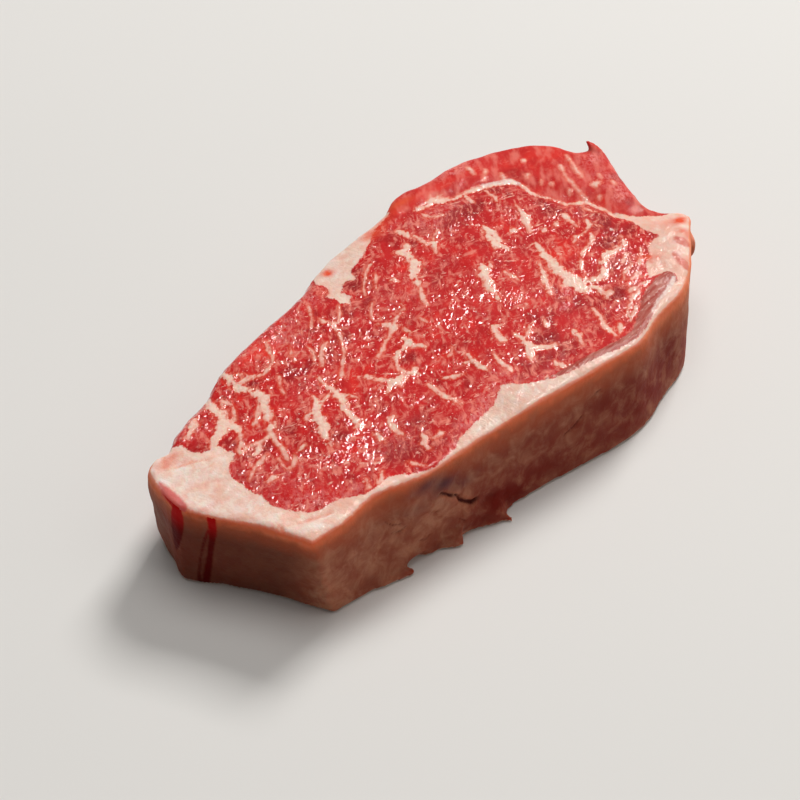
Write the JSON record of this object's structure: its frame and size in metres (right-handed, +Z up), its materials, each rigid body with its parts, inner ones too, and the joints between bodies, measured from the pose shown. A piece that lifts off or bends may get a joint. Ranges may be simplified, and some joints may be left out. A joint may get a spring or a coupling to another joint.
{
  "type": "raw sirloin steak",
  "caption": "Thick slice of raw marbled beef with a fat cap along one side, lying flat on a cut face.",
  "frame": {"origin": "on the resting face, under the middle of the bounding box", "axes": "+X along the steak from the narrow tail end to the wide chine end, -Y out of the fat cap, +Z up through the slice"},
  "size_m": [0.2, 0.11, 0.031],
  "materials": {
    "raw_beef": "moist, soft, marbled lean with a cream fat cap"
  },
  "bodies": {
    "root": {"steak": "raw_beef"}
  },
  "joints": []
}
